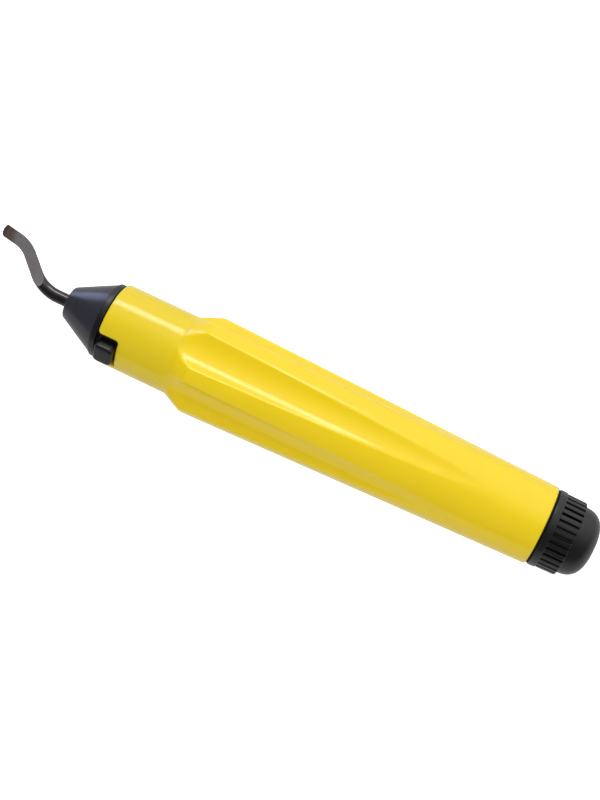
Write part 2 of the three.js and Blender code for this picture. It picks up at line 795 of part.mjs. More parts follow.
bladeShape.computeBoundingBox();
for (const [name, side] of [['spare_blade_1', -1], ['spare_blade_2', 1]]) {
  const spare = piece(name, bladeShape, finishes.toolSteel);
  spare.position.set(SPARE_FRONT - bladeShape.boundingBox.min.x, SPARE_ASIDE, 0);
  spare.position.z = side * SPARE_SPACING / 2 + SPARE_DROP;
  tool.add(spare);
}

// The finished part lies on two lands of the barrel, centred over its origin.
tool.updateMatrixWorld(true);
const extent = new THREE.Box3().setFromObject(tool, true);
tool.position.x = -(extent.min.x + extent.max.x) / 2;
tool.position.z = -extent.min.z;

const part = new THREE.Group();
part.add(tool);
export default part;
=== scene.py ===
# Deburring tool: the moulded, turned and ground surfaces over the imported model, a pale bench,
# studio light and a camera.

import math

import bpy
import numpy as np
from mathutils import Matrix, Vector


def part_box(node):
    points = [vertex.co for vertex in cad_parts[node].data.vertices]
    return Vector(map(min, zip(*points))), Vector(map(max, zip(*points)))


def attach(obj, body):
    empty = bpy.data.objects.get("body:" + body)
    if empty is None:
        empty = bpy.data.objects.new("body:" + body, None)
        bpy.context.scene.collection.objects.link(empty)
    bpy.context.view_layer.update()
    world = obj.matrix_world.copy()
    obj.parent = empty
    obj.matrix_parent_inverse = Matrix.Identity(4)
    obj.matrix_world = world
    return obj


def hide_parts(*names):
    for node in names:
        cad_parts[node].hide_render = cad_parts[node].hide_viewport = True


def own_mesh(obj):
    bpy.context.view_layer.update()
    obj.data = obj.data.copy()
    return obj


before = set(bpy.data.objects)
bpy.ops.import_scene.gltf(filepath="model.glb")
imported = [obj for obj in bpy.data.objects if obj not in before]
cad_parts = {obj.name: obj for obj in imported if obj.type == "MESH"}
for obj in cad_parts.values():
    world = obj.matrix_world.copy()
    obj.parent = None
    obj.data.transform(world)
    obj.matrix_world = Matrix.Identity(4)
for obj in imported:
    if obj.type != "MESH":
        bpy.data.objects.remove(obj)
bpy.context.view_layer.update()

MM = 0.001

# The tool's own frame, in millimetres: station along the axis from the barrel's front rim, side
# along +Y and height above the axis.
RIM_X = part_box("barrel")[0].x
AXIS_Z = (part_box("nose_cone")[0].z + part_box("nose_cone")[1].z) / 2


def in_frame(points):
    """Points of the tool's own frame, in the shared frame and in metres."""
    return np.asarray(points, float) * MM + np.array([RIM_X, 0.0, AXIS_Z])


def cad_points(node):
    """A CAD node's points, in the tool's own frame."""
    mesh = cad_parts[node].data
    flat = np.empty(len(mesh.vertices) * 3)
    mesh.vertices.foreach_get("co", flat)
    return (flat.reshape(-1, 3) - np.array([RIM_X, 0.0, AXIS_Z])) / MM


def stations(node):
    points = cad_points(node)
    return points[:, 0].min(), points[:, 0].max()


def reach(node, front, rear):
    """How far a CAD node reaches from the axis between two stations."""
    points = cad_points(node)
    among = points[(points[:, 0] >= front) & (points[:, 0] <= rear)]
    return float(np.hypot(among[:, 1], among[:, 2]).max())


# ---------------------------------------------------------------- sizes, in millimetres

BARREL_LENGTH = stations("barrel")[1]
NECK_RADIUS = reach("barrel", 2, 19)
NECK_LENGTH = 18.6
SHOULDER_RADIUS = reach("barrel", 20, 30)
SHOULDER_END = 23.75
REAR_RADIUS = reach("barrel", BARREL_LENGTH - 1, BARREL_LENGTH)
SOCKET_RADIUS = 8.45
SOCKET_DEPTH = 20.2
STORE_RADIUS = 7.05
WEB_THICKNESS = 2.0
FLUTES = 6
FLUTE_RADIUS = 7.35
FLUTE_END = 95.0
FLOOR_CLIMB = 0.1
FLUTE_EDGE = 0.32
FLUTE_EDGE_FRONT = 0.6
EDGE_FADE = 22
NARROWEST_FLUTE = math.radians(1.2)
REAR_EDGE = 0.45
MOUTH_STEP = 0.9

NOTCH_HALF_WIDTH = 4.05
NOTCH_LENGTH = 5.4
NOTCH_CORNER = 0.7
RIM_CORNER = 0.95
RIM_EDGE = 0.6
INNER_EDGE = 0.15
SQUARE_WITHIN = math.radians(26)
RADIAL_BEYOND = math.radians(46)
LIP_SHARE = 0.12
WALL_SHARE = 0.52
BUTTON_TURN = math.radians(60)

THREAD_PITCH = 2.0
THREAD_CENTRE = 108.0
THREAD_START = 0.25
GROOVE_MOUTH = 1.4
GROOVE_FLOOR = 0.9
GROOVE_DEPTH = 0.7
GROOVE_END = 6.8
RIDGE_ROOT = 1.0
RIDGE_CREST = 0.5
RIDGE_HEIGHT = 0.7

NOSE_TIP, NOSE_BASE = stations("nose_cone")
NOSE_BASE_RADIUS = reach("nose_cone", NOSE_BASE - 0.1, NOSE_BASE + 0.1)
NOSE_TIP_RADIUS = 3.95
NOSE_POCKET_RADIUS = 5.7
NOSE_POCKET_DEPTH = 4.9
NOSE_GAP = 0.05
FLANGE_FRONT = -1.7
FLANGE_REAR = -0.3
CORE_NOSE_RADIUS = 5.6
BUSH_HOLE_RADIUS = 2.65
SHANK_HOLE_RADIUS = 1.65
SHANK_HOLE_END = 18.4
SNAP_GROOVE_FRONT = 16.3
SNAP_GROOVE_REAR = 17.3
SNAP_GROOVE_DEPTH = 0.3
SPRING_STATION = 3.9
SPRING_SEAT = 2.7
SPRING_POCKET_RADIUS = 1.5
SPRING_POCKET_TOP = 5.0
CAP_FRONT, CAP_END = stations("rear_cap")


# ---------------------------------------------------------------- shapes

def smooth_step(low, high, value):
    t = np.clip((value - low) / (high - low), 0.0, 1.0)
    return t * t * (3 - 2 * t)


def rounded_outline(corners, steps=6, closed=False):
    """[radius, station] points through corners of (radius, station, rounding)."""
    points = []
    count = len(corners)
    for index, (radius, station, rounding) in enumerate(corners):
        here = np.array([radius, station], float)
        is_end = not closed and index in (0, count - 1)
        if is_end or rounding == 0:
            points.append(here)
            continue
        back = np.array(corners[index - 1][:2], float) - here
        ahead = np.array(corners[(index + 1) % count][:2], float) - here
        back /= np.linalg.norm(back)
        ahead /= np.linalg.norm(ahead)
        half = math.acos(np.clip(np.dot(back, ahead), -1, 1)) / 2
        bisector = (back + ahead) / np.linalg.norm(back + ahead)
        centre = here + bisector * rounding / math.sin(half)
        first = here + back * rounding / math.tan(half) - centre
        last = here + ahead * rounding / math.tan(half) - centre
        sweep = math.pi - 2 * half
        for step in range(steps + 1):
            t = step / steps
            arm = (math.sin((1 - t) * sweep) * first + math.sin(t * sweep) * last) / math.sin(sweep)
            points.append(centre + arm)
    return np.array(points)


def around_axis(radii, angles, along):
    """Points of the tool's frame. Angles start at the top and go towards -Y."""
    radii, angles, along = np.broadcast_arrays(radii, angles, along)
    return np.stack([along, -radii * np.sin(angles), radii * np.cos(angles)], axis=-1)


def loft(rings, ends="poles"):
    """Points and faces of rows of rings. Ends are poles on the axis, lids, or joined in a loop."""
    rows, columns = rings.shape[:2]
    points = rings.reshape(-1, 3)
    index = np.arange(rows * columns).reshape(rows, columns)
    below = index if ends == "loop" else index[:-1]
    above = np.roll(index, -1, axis=0) if ends == "loop" else index[1:]
    quads = np.stack([below, np.roll(below, -1, axis=1), np.roll(above, -1, axis=1), above], axis=-1)
    faces = quads.reshape(-1, 4).tolist()
    if ends == "poles":
        poles = [[rings[0, 0, 0], 0, 0], [rings[-1, 0, 0], 0, 0]]
        points = np.vstack([points, poles])
        front_pole = rows * columns
        for column in range(columns):
            after = (column + 1) % columns
            faces.append([int(index[0, after]), int(index[0, column]), front_pole])
            faces.append([int(index[-1, column]), int(index[-1, after]), front_pole + 1])
    if ends == "lids":
        faces.append(index[0, ::-1].tolist())
        faces.append(index[-1].tolist())
    return points, faces


def turned(outline, sides, ends="poles"):
    """A body turned on the axis from [radius, station] points."""
    angles = np.arange(sides) / sides * 2 * math.pi
    rings = around_axis(outline[:, :1], angles[None, :], outline[:, 1:])
    return loft(rings, ends)


def make_piece(name, shape, finish, body, node, crease=40, place=in_frame):
    points, faces = shape
    mesh = bpy.data.meshes.new(name)
    mesh.from_pydata(place(points).tolist(), [], faces)
    mesh.validate()
    mesh.polygons.foreach_set("use_smooth", [True] * len(mesh.polygons))
    mesh.set_sharp_from_angle(angle=math.radians(crease))
    mesh.materials.append(finish)
    piece = bpy.data.objects.new(name, mesh)
    bpy.context.scene.collection.objects.link(piece)
    turn_out(piece)
    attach(piece, body)
    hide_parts(node)
    return piece


def turn_out(piece):
    """Makes a closed piece's faces point outwards."""
    corners = np.empty(len(piece.data.loops), int)
    piece.data.loops.foreach_get("vertex_index", corners)
    volume = 0.0
    for face in piece.data.polygons:
        first, *rest = [piece.data.vertices[v].co for v in face.vertices]
        for second, third in zip(rest, rest[1:]):
            volume += first.dot(second.cross(third))
    if volume < 0:
        piece.data.flip_normals()


def cut(piece, shapes, operation="DIFFERENCE"):
    """Cuts shapes of the tool's frame out of a piece, or joins them to it."""
    for shape in shapes:
        points, faces = shape
        mesh = bpy.data.meshes.new("cutter")
        mesh.from_pydata(in_frame(points).tolist(), [], faces)
        cutter = bpy.data.objects.new("cutter", mesh)
        bpy.context.scene.collection.objects.link(cutter)
        turn_out(cutter)
        modifier = piece.modifiers.new("cut", "BOOLEAN")
        modifier.operation = operation
        modifier.solver = "EXACT"
        modifier.object = cutter
        apply_modifier(piece, modifier)
        bpy.data.objects.remove(cutter)
        bpy.data.meshes.remove(mesh)


def apply_modifier(piece, modifier):
    with bpy.context.temp_override(object=piece, active_object=piece, selected_objects=[piece]):
        bpy.ops.object.modifier_apply(modifier=modifier.name)


# ---------------------------------------------------------------- barrel

BARREL_OUTLINE = rounded_outline([
    (NECK_RADIUS, 0, 0),
    (NECK_RADIUS, NECK_LENGTH, 1.2),
    (SHOULDER_RADIUS, SHOULDER_END, 3.2),
    (REAR_RADIUS, BARREL_LENGTH, 0),
], steps=10)
FLUTE_COLUMNS = 14
LAND_COLUMNS = 12
HALF_SECTOR = FLUTE_COLUMNS + LAND_COLUMNS
EVEN_UNTIL = 12.0
CROWDED_FROM = 18
SECTOR = 2 * math.pi / FLUTES


def body_radius(station):
    return np.interp(station, BARREL_OUTLINE[:, 1], BARREL_OUTLINE[:, 0])


def flute_floor(station):
    """The radius of a flute's floor. It meets the tapering surface where the flutes run out."""
    end_radius = np.interp(FLUTE_END, [SHOULDER_END, BARREL_LENGTH], [SHOULDER_RADIUS, REAR_RADIUS])
    marks = [NECK_LENGTH, FLUTE_END, BARREL_LENGTH]
    return np.interp(station, marks, [NECK_RADIUS, end_radius, end_radius + FLOOR_CLIMB])


def flute_edge(station):
    """The angle from a flute's middle to its edge."""
    radius = body_radius(station)
    centre = flute_floor(station) + FLUTE_RADIUS
    cosine = (radius ** 2 + centre ** 2 - FLUTE_RADIUS ** 2) / (2 * radius * centre)
    return np.maximum(np.arccos(np.clip(cosine, -1, 1)), NARROWEST_FLUTE)


def barrel_columns(station):
    """One ring's angles. They crowd at the flutes' edges, and are even where there are none."""
    edge = flute_edge(station)
    in_flute = edge * np.sin(np.arange(FLUTE_COLUMNS) / FLUTE_COLUMNS * math.pi / 2)
    across_land = np.arange(LAND_COLUMNS + 1) / LAND_COLUMNS
    on_land = edge + (SECTOR / 2 - edge) * (1 - np.cos(across_land * math.pi / 2))
    half = np.concatenate([in_flute, on_land])
    even = np.linspace(0, SECTOR / 2, HALF_SECTOR + 1)
    follow = smooth_step(EVEN_UNTIL, CROWDED_FROM, station)
    follow *= 1 - smooth_step(FLUTE_END + 1, FLUTE_END + 11, station)
    half = even + (half - even) * follow
    sector = np.concatenate([-half[:0:-1], half[:-1]])
    return np.concatenate([sector + index * SECTOR for index in range(FLUTES)])


def barrel_ring(station):
    """One ring of the outside. Flute and land meet in a small rounded edge."""
    angles = barrel_columns(station)
    land = float(body_radius(station))
    if station <= NECK_LENGTH - 0.4:
        return around_axis(land, angles, station)
    from_middle = (angles + SECTOR / 2) % SECTOR - SECTOR / 2
    centre = flute_floor(station) + FLUTE_RADIUS
    inside = FLUTE_RADIUS ** 2 - (centre * np.sin(from_middle)) ** 2
    flute = np.where(inside > 0, centre * np.cos(from_middle) - np.sqrt(np.maximum(inside, 0)), 2 * land)
    depth = max(land - float(flute_floor(station)), 0.0)
    edge = np.interp(station, [SHOULDER_END, SHOULDER_END + EDGE_FADE], [FLUTE_EDGE_FRONT, FLUTE_EDGE])
    blend = max(min(edge, depth * 0.9), 1e-6)
    near = np.maximum(blend - np.abs(flute - land), 0) / blend
    radii = np.minimum(flute, land) - near ** 2 * blend / 4
    return around_axis(radii, angles, station)


def rim_path():
    """The front rim's line, once round: angle at the neck's surface, and station. It dips back
    round the notch, whose middle is at BUTTON_TURN."""
    even = np.linspace(0, SECTOR / 2, HALF_SECTOR + 1)
    step = even[1]
    reach_columns = 40
    side = NECK_RADIUS * math.asin(NOTCH_HALF_WIDTH / NECK_RADIUS)
    half = []
    for t in np.linspace(0, 1, 11)[:-1]:
        half.append((t * (side - NOTCH_CORNER), NOTCH_LENGTH))
    for t in np.linspace(0, math.pi / 2, 8)[:-1]:
        sideways = side - NOTCH_CORNER * (1 - math.sin(t))
        half.append((sideways, NOTCH_LENGTH - NOTCH_CORNER * (1 - math.cos(t))))
    for t in np.linspace(0, 1, 8)[:-1]:
        half.append((side, NOTCH_LENGTH - NOTCH_CORNER + t * (RIM_CORNER + NOTCH_CORNER - NOTCH_LENGTH)))
    for t in np.linspace(0, math.pi / 2, 8)[:-1]:
        half.append((side + RIM_CORNER * (1 - math.cos(t)), RIM_CORNER * (1 - math.sin(t))))
    far = reach_columns * step * NECK_RADIUS
    for t in np.linspace(0, 1, reach_columns - len(half) + 1):
        half.append((side + RIM_CORNER + t * (far - side - RIM_CORNER), 0.0))
    total = 2 * HALF_SECTOR * FLUTES
    angles = np.arange(total) * step - SECTOR / 2
    along = np.zeros(total)
    middle = int(round((BUTTON_TURN + SECTOR / 2) / step))
    for offset, (arc, station) in enumerate(half):
        for sign in (-1, 1):
            angles[(middle + sign * offset) % total] = BUTTON_TURN + sign * arc / NECK_RADIUS
            along[(middle + sign * offset) % total] = station
    return angles, along


def barrel_front_rings():
    """From the socket's end, out over the rounded front rim and notch, to the plain neck. Near the
    notch the wall is square to the button, and further round it is radial."""
    angles, along = rim_path()
    from_notch = (angles - BUTTON_TURN + math.pi) % (2 * math.pi) - math.pi
    across = np.clip(NECK_RADIUS * np.sin(from_notch) / SOCKET_RADIUS, -1, 1)
    squared = 1 - smooth_step(SQUARE_WITHIN, RADIAL_BEYOND, np.abs(from_notch))
    inner_angles = angles + squared * (np.arcsin(across) - from_notch)
    arcs = angles * NECK_RADIUS
    once_round = 2 * math.pi * NECK_RADIUS
    tangent_arc = np.roll(arcs, -1) - np.roll(arcs, 1)
    wraps = np.abs(tangent_arc) > once_round / 2
    tangent_arc = np.where(wraps, tangent_arc - once_round * np.sign(tangent_arc), tangent_arc)
    tangent_along = np.roll(along, -1) - np.roll(along, 1)
    length = np.hypot(tangent_arc, tangent_along)
    inward_arc, inward_along = -tangent_along / length, tangent_arc / length

    even = barrel_columns(0)
    rings = []
    for station in np.linspace(SOCKET_DEPTH, EVEN_UNTIL, 4):
        rings.append(around_axis(SOCKET_RADIUS, even, station))
    for t in np.linspace(1, 0, 9)[1:]:
        rings.append(around_axis(
            SOCKET_RADIUS,
            inner_angles + t * (even - inner_angles),
            (along + INNER_EDGE) + t * (EVEN_UNTIL - along - INNER_EDGE),
        ))
    wall = NECK_RADIUS - RIM_EDGE
    for radius, share in [(SOCKET_RADIUS + INNER_EDGE, LIP_SHARE), (wall, WALL_SHARE)]:
        rings.append(around_axis(radius, inner_angles + share * (angles - inner_angles), along))
    for turn in np.linspace(0, math.pi / 2, 8)[1:]:
        offset = RIM_EDGE * (1 - math.cos(turn))
        left_over = (1 - turn / (math.pi / 2)) * (1 - WALL_SHARE)
        rings.append(around_axis(
            wall + RIM_EDGE * math.sin(turn),
            (arcs + inward_arc * offset) / NECK_RADIUS + left_over * (inner_angles - angles),
            along + inward_along * offset,
        ))
    edge_angles = (arcs + inward_arc * RIM_EDGE) / NECK_RADIUS
    edge_along = along + inward_along * RIM_EDGE
    for t in np.linspace(0, 1, 14)[1:]:
        rings.append(around_axis(
            NECK_RADIUS,
            edge_angles + t * (even - edge_angles),
            edge_along + t * (EVEN_UNTIL - edge_along),
        ))
    return rings


def thread_depth(angles, station, root_width, crest_width, height):
    """How far a helical ridge, or the groove that it runs in, stands from the plain round."""
    phase = station - THREAD_CENTRE - THREAD_PITCH * (angles / (2 * math.pi) + THREAD_START)
    aside = np.abs((phase + THREAD_PITCH / 2) % THREAD_PITCH - THREAD_PITCH / 2)
    slope = (root_width - crest_width) / 2
    return height * np.clip((root_width / 2 - aside) / slope, 0, 1)


def barrel_rear_rings():
    """From the rounded rear edge, in over the rim and down the threaded store to its end."""
    even = barrel_columns(BARREL_LENGTH)
    rings = []
    for turn in np.linspace(0, math.pi / 2, 7):
        rings.append(around_axis(
            REAR_RADIUS - REAR_EDGE * (1 - math.cos(turn)),
            even,
            BARREL_LENGTH - REAR_EDGE * (1 - math.sin(turn)),
        ))
    rings.append(around_axis(STORE_RADIUS + MOUTH_STEP, even, BARREL_LENGTH))
    for station in np.arange(BARREL_LENGTH - 0.2, BARREL_LENGTH - GROOVE_END, -0.15):
        depth = thread_depth(even, station, GROOVE_MOUTH, GROOVE_FLOOR, GROOVE_DEPTH)
        rings.append(around_axis(STORE_RADIUS + depth, even, station))
    store_front = SOCKET_DEPTH + WEB_THICKNESS
    for station in np.linspace(BARREL_LENGTH - GROOVE_END - 0.4, store_front, 6):
        rings.append(around_axis(STORE_RADIUS, even, station))
    return rings


def barrel_shape():
    """The rings lie closest over the shoulder, where the flutes begin."""
    rings = barrel_front_rings()
    stretches = [
        (EVEN_UNTIL, NECK_LENGTH - 0.5, 8),
        (NECK_LENGTH - 0.5, SHOULDER_END + 1.2, 56),
        (SHOULDER_END + 1.2, FLUTE_END + 1, 60),
        (FLUTE_END + 1, BARREL_LENGTH - 0.7, 9),
    ]
    for front, rear, count in stretches:
        for station in np.linspace(front, rear, count)[1:]:
            rings.append(barrel_ring(station))
    rings.extend(barrel_rear_rings())
    return loft(np.array(rings))


# ---------------------------------------------------------------- nose

def nose_cone_shape():
    base = FLANGE_FRONT - NOSE_GAP
    pocket_end = NOSE_BASE - NOSE_POCKET_DEPTH
    outline = rounded_outline([
        (BUSH_HOLE_RADIUS, NOSE_TIP, 0.15),
        (NOSE_TIP_RADIUS, NOSE_TIP, 0.45),
        (NOSE_BASE_RADIUS, base, 0.12),
        (NOSE_POCKET_RADIUS, base, 0.1),
        (NOSE_POCKET_RADIUS, pocket_end, 0),
        (BUSH_HOLE_RADIUS, pocket_end, 0),
    ], steps=5, closed=True)
    return turned(outline, 160, ends="loop")


def guide_bush_shape():
    front, rear = stations("guide_bush")
    outer = reach("guide_bush", front, rear)
    outline = rounded_outline([
        (SHANK_HOLE_RADIUS, front, 0.15),
        (outer, front, 0.2),
        (outer, rear, 0.2),
        (SHANK_HOLE_RADIUS, rear, 0.15),
    ], steps=4, closed=True)
    return turned(outline, 64, ends="loop")


def box_shape(front, rear, half_width, bottom, top):
    """A box of the latch's frame, whose heights run out along the button's direction."""
    points = []
    for station in (front, rear):
        for side in (-half_width, half_width):
            for height in (bottom, top):
                points.append((station, side, height))
    faces = [[0, 1, 3, 2], [4, 6, 7, 5], [0, 4, 5, 1], [2, 3, 7, 6], [0, 2, 6, 4], [1, 5, 7, 3]]
    return to_button(np.array(points, float)), faces


def about_axis(points, turn):
    """Turns points about the tool's axis."""
    station, side, height = points[..., 0], points[..., 1], points[..., 2]
    cosine, sine = math.cos(turn), math.sin(turn)
    return np.stack([station, side * cosine - height * sine, side * sine + height * cosine], axis=-1)


def to_button(points):
    """Turns points drawn with their radial direction along the height to the button's place."""
    return about_axis(points, BUTTON_TURN)


def holder_core_shape():
    front, rear = stations("holder_core")
    flange = reach("holder_core", -1.8, 0)
    body = SOCKET_RADIUS - 0.1
    outline = rounded_outline([
        (0.5, front, 0),
        (CORE_NOSE_RADIUS, front, 0.3),
        (CORE_NOSE_RADIUS, FLANGE_FRONT, 0),
        (flange, FLANGE_FRONT, 0.14),
        (flange, FLANGE_REAR, 0.14),
        (body, FLANGE_REAR, 0),
        (body, SNAP_GROOVE_FRONT, 0),
        (body - SNAP_GROOVE_DEPTH, SNAP_GROOVE_FRONT, 0),
        (body - SNAP_GROOVE_DEPTH, SNAP_GROOVE_REAR, 0),
        (body, SNAP_GROOVE_REAR, 0),
        (body, rear, 0.3),
        (0.5, rear, 0),
    ], steps=4)
    return turned(outline, 160)


def plain_hole(radius, front, rear, sides=64):
    return turned(np.array([(radius, front), (radius, rear)]), sides)


def smooth_again(piece, crease):
    """Sets the shading anew after cuts."""
    piece.data.polygons.foreach_set("use_smooth", [True] * len(piece.data.polygons))
    piece.data.set_sharp_from_angle(angle=math.radians(crease))


def holder_core(finish):
    piece = make_piece("holder_core_moulding", holder_core_shape(), finish,
                       "handle", "holder_core")
    button_pocket = box_shape(front=0, rear=6.5, half_width=5.3, bottom=3.6, top=12)
    plate_slot = box_shape(front=1.0, rear=2.2, half_width=3.2, bottom=-6.3, top=5)
    spring_points, spring_faces = plain_hole(SPRING_POCKET_RADIUS, SPRING_SEAT, SPRING_POCKET_TOP, 48)
    spring_points = spring_points[:, [1, 2, 0]] + np.array([SPRING_STATION, 0, 0])
    bush_rear = stations("guide_bush")[1] + 0.1
    cut(piece, [
        button_pocket,
        plate_slot,
        (to_button(spring_points), spring_faces),
        plain_hole(BUSH_HOLE_RADIUS, stations("holder_core")[0] - 1, bush_rear),
        plain_hole(SHANK_HOLE_RADIUS, -4.0, SHANK_HOLE_END),
    ])
    smooth_again(piece, crease=30)
    return piece


# ---------------------------------------------------------------- blade

SHANK_RADIUS = 1.6
HOOK_RADIUS = 1.53
TAPER_LENGTH = 6.0
SHANK_END = stations("blade")[1]
SHANK_CHAMFER = 0.5
NECK_FROM = SHANK_END - 2.2
NECK_TO = SHANK_END - 1.0
NECK_ROD_RADIUS = 1.15
STICK_OUT = 3.5
FIRST_BEND = math.radians(47)
FIRST_BEND_RADIUS = 9.5
SLOPE_LENGTH = 4.5
SECOND_BEND = math.radians(37.5)
SECOND_BEND_RADIUS = 7.5
TIP_LENGTH = 4.5

# The rod from its shank's end to its tip: each stretch's length and how far it turns.
STRETCHES = [
    (SHANK_END - NOSE_TIP + STICK_OUT, 0.0),
    (FIRST_BEND_RADIUS * FIRST_BEND, FIRST_BEND),
    (SLOPE_LENGTH, 0.0),
    (SECOND_BEND_RADIUS * SECOND_BEND, -SECOND_BEND),
    (TIP_LENGTH, 0.0),
]
BLADE_LENGTH = sum(length for length, _ in STRETCHES)
FLAT_FROM = STRETCHES[0][0] + STRETCHES[1][0] + 0.9
WHEEL_RADIUS = 6.5
FIRST_TOUCH = 4.1
TIP_BEVEL = 1.25
TIP_BEVEL_SLOPE = 0.75
TIP_ROUND = 0.75
REST_TURN = math.radians(25)
FACE_POINTS = 20
ROUND_POINTS = 40


def centreline(distance):
    """Station, side and heading of the bent rod, a distance along it from the shank's end."""
    heading = ahead = aside = 0.0
    for length, turn in STRETCHES:
        run = min(distance, length)
        after = heading + turn * run / length
        if turn == 0:
            ahead += run * math.cos(heading)
            aside += run * math.sin(heading)
        else:
            radius = length / turn
            ahead += radius * (math.sin(after) - math.sin(heading))
            aside += radius * (math.cos(heading) - math.cos(after))
        heading = after
        distance -= run
        if distance <= 0:
            break
    return -ahead, aside, heading


def rod_radius(distance):
    """The hook is a little thinner than the shank. The shank has a neck for the latch plate and a
    chamfered end, and the tip is rounded."""
    down = smooth_step(STRETCHES[0][0], STRETCHES[0][0] + TAPER_LENGTH, distance)
    radius = SHANK_RADIUS + (HOOK_RADIUS - SHANK_RADIUS) * down
    if distance < SHANK_CHAMFER:
        radius -= SHANK_CHAMFER - distance
    if NECK_FROM < distance < NECK_TO:
        radius = NECK_ROD_RADIUS
    from_tip = BLADE_LENGTH - distance
    if from_tip < TIP_ROUND:
        radius -= TIP_ROUND - math.sqrt(TIP_ROUND ** 2 - (TIP_ROUND - from_tip) ** 2)
    return float(radius)


def ground_height(distance):
    """Height of the ground face over the rod's middle: full rod, wheel run-out, flat, tip bevel."""
    before = FLAT_FROM - distance
    if before >= WHEEL_RADIUS:
        return WHEEL_RADIUS
    if before > 0:
        return WHEEL_RADIUS - math.sqrt(WHEEL_RADIUS ** 2 - before ** 2)
    past_bevel = distance - (BLADE_LENGTH - TIP_BEVEL)
    return -TIP_BEVEL_SLOPE * max(past_bevel, 0.0)


def blade_section(radius, height, corner):
    """Once round the rod's section: along the ground face, then round underneath."""
    lift = math.asin(np.clip(height / radius, -0.97, math.sin(corner)))
    face = np.linspace(math.pi - lift, lift, FACE_POINTS + 1)[:-1]
    low = np.linspace(lift, -lift - math.pi, ROUND_POINTS + 1)[:-1]
    across = np.concatenate([radius * np.cos(face), radius * np.cos(low)])
    up = np.concatenate([radius * np.sin(face), radius * np.sin(low)])
    if height < radius:
        across[:FACE_POINTS] = np.linspace(-1, 1, FACE_POINTS + 1)[:-1] * radius * math.cos(lift)
        up[:FACE_POINTS] = min(height, radius * math.sin(lift))
    return across, up


def blade_stations():
    """Distances along the rod from its shank's end, the number of them before the grinding, and
    where the grinding starts."""
    touched = rod_radius(FLAT_FROM - FIRST_TOUCH)
    wheel_reach = math.sqrt(WHEEL_RADIUS ** 2 - (WHEEL_RADIUS - touched) ** 2)
    grind_start = FLAT_FROM - wheel_reach
    plain = [0.0, SHANK_CHAMFER / 2, SHANK_CHAMFER, 5.0, 10.0, NECK_FROM - 0.01, NECK_FROM, NECK_FROM + 0.12]
    plain += [NECK_TO - 0.12, NECK_TO, NECK_TO + 0.01, 20.0, 25.0, 28.0]
    plain += np.linspace(STRETCHES[0][0] - 0.5, grind_start - 0.05, 22).tolist()
    ground = np.linspace(grind_start, FLAT_FROM, 30).tolist()
    ground += np.linspace(FLAT_FROM, BLADE_LENGTH - TIP_BEVEL, 46)[1:].tolist()
    ground += [BLADE_LENGTH - TIP_BEVEL + 0.03]
    ground += [BLADE_LENGTH - TIP_ROUND * (1 - math.sin(t)) for t in np.linspace(0, math.pi / 2, 9)]
    return plain + ground, len(plain), grind_start


def blade_shape():
    """The bent and ground rod, with its shank's end at the frame's start."""
    distances, _, grind_start = blade_stations()
    rings = []
    for distance in distances:
        ahead, aside, heading = centreline(distance)
        settle = smooth_step(grind_start - 3, grind_start, distance)
        corner = math.radians(45) + settle * math.radians(40)
        across, up = blade_section(rod_radius(distance), ground_height(distance), corner)
        rings.append(np.stack([
            ahead + across * math.sin(heading),
            aside + across * math.cos(heading),
            up,
        ], axis=-1))
    return loft(np.array(rings), ends="lids")


def blade(name, node, body, turn, oxide, ground):
    """A blade where its CAD node is, with the ground face in its own finish."""
    cad = cad_points(node)
    end = cad[:, 0].max()
    shank = cad[cad[:, 0] > end - 10]
    middle = (shank.min(axis=0) + shank.max(axis=0)) / 2
    points, faces = blade_shape()
    points = about_axis(points, turn) + np.array([end, middle[1], middle[2]])
    piece = make_piece(name, (points, faces), oxide, body, node)
    piece.data.materials.append(ground)
    distances, plain_rows, _ = blade_stations()
    bevel_row = sum(distance <= BLADE_LENGTH - TIP_BEVEL for distance in distances)
    for face in piece.data.polygons:
        row, column = divmod(face.index, FACE_POINTS + ROUND_POINTS)
        is_ground = plain_rows <= row < bevel_row and column < FACE_POINTS
        if is_ground and len(face.vertices) == 4:
            face.material_index = 1


# ---------------------------------------------------------------- button and cap

BUTTON_FRONT = 0.45
BUTTON_REAR = 5.25
BUTTON_HALF_WIDTH = 2.6
BUTTON_TOP = 11.3
BUTTON_CORNER = 1.1
BUTTON_EDGE = 0.7
BUTTON_CROWN = 0.08
BUTTON_FOOT = 8.2
HUB_BOTTOM = 6.2
SADDLE_INNER = 7.4
SADDLE_OUTER = 8.3
SADDLE_FRONT = 0.2
SADDLE_REAR = 6.2
SADDLE_HALF_WIDTH = 5


